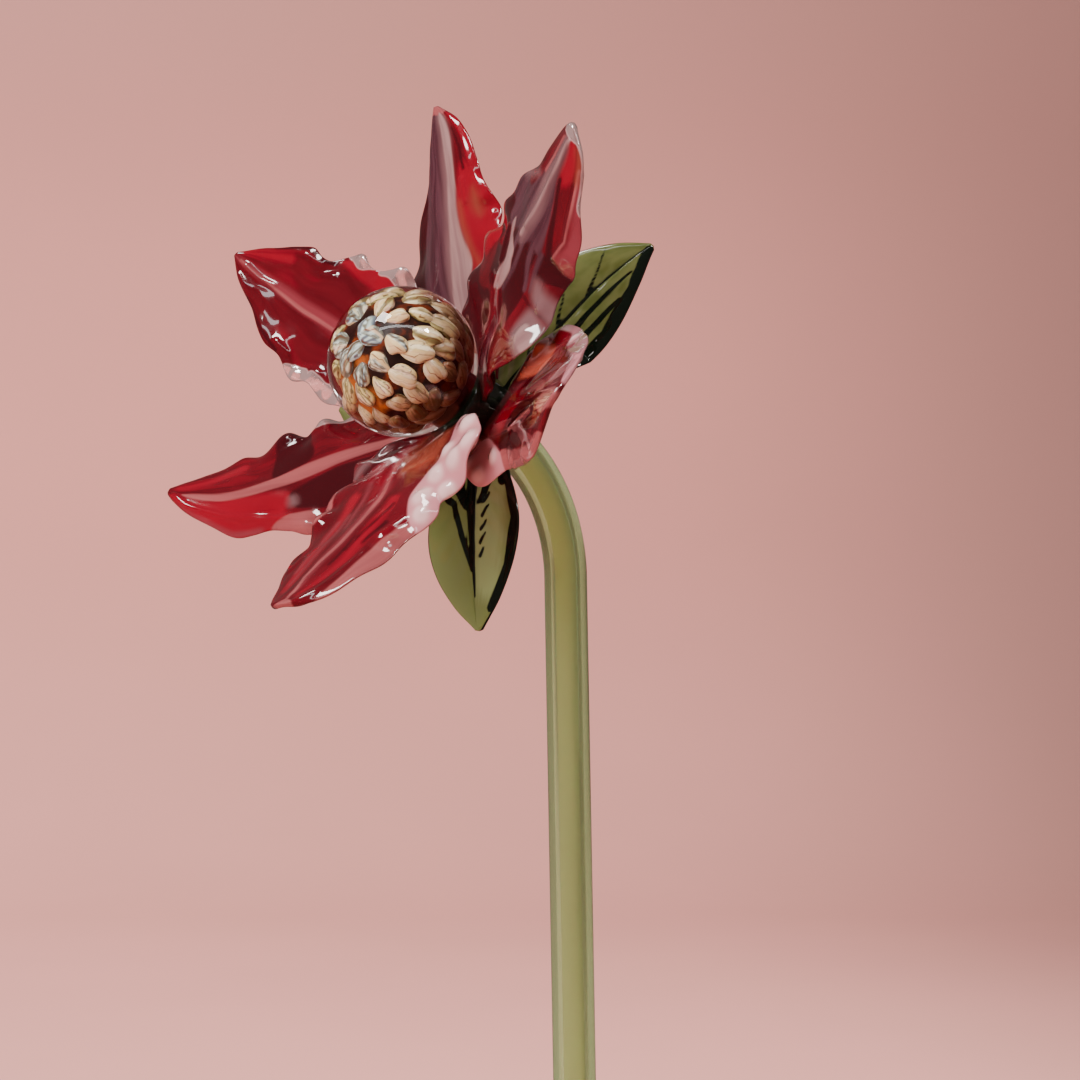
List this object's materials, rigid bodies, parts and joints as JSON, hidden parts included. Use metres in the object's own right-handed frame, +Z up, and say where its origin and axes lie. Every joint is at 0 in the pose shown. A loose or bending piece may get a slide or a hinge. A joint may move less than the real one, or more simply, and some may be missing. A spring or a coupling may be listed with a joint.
{
  "type": "glass flower in vase",
  "caption": "Hand-shaped glass flower with ruffled red petals round a clear ball, green leaves and a bent green glass stem, standing in a plain narrow-necked bud vase",
  "frame": {"origin": "the middle of the vase's flat foot, on the surface that it stands on", "axes": "+Z up; the viewer of the picture stands at -Y with +X to the right; the flower head faces up and to the left of the viewer"},
  "size_m": [0.1625, 0.1578, 0.4766],
  "materials": {
    "vase_glaze": "satin pale glaze over stoneware, opaque",
    "stem_glass": "polished olive green tube, translucent",
    "calyx_glass": "polished near-black green, opaque",
    "clear_glass": "polished clear",
    "core_glass": "cream, olive and amber scales",
    "petal_glass": "polished deep red with pale streaks and clear frills",
    "leaf_glass": "polished olive green with black veins"
  },
  "bodies": {
    "root": {"vase": "vase_glaze", "stem": "stem_glass", "calyx": "calyx_glass", "ball_casing": "clear_glass", "ball_core": "core_glass", "petal_upper_left": "petal_glass", "petal_top": "petal_glass", "petal_upper_right": "petal_glass", "petal_right": "petal_glass", "petal_lower_left": "petal_glass", "petal_left": "petal_glass", "leaf_upper_right": "leaf_glass", "leaf_lower": "leaf_glass", "leaf_behind": "leaf_glass"}
  },
  "joints": []
}
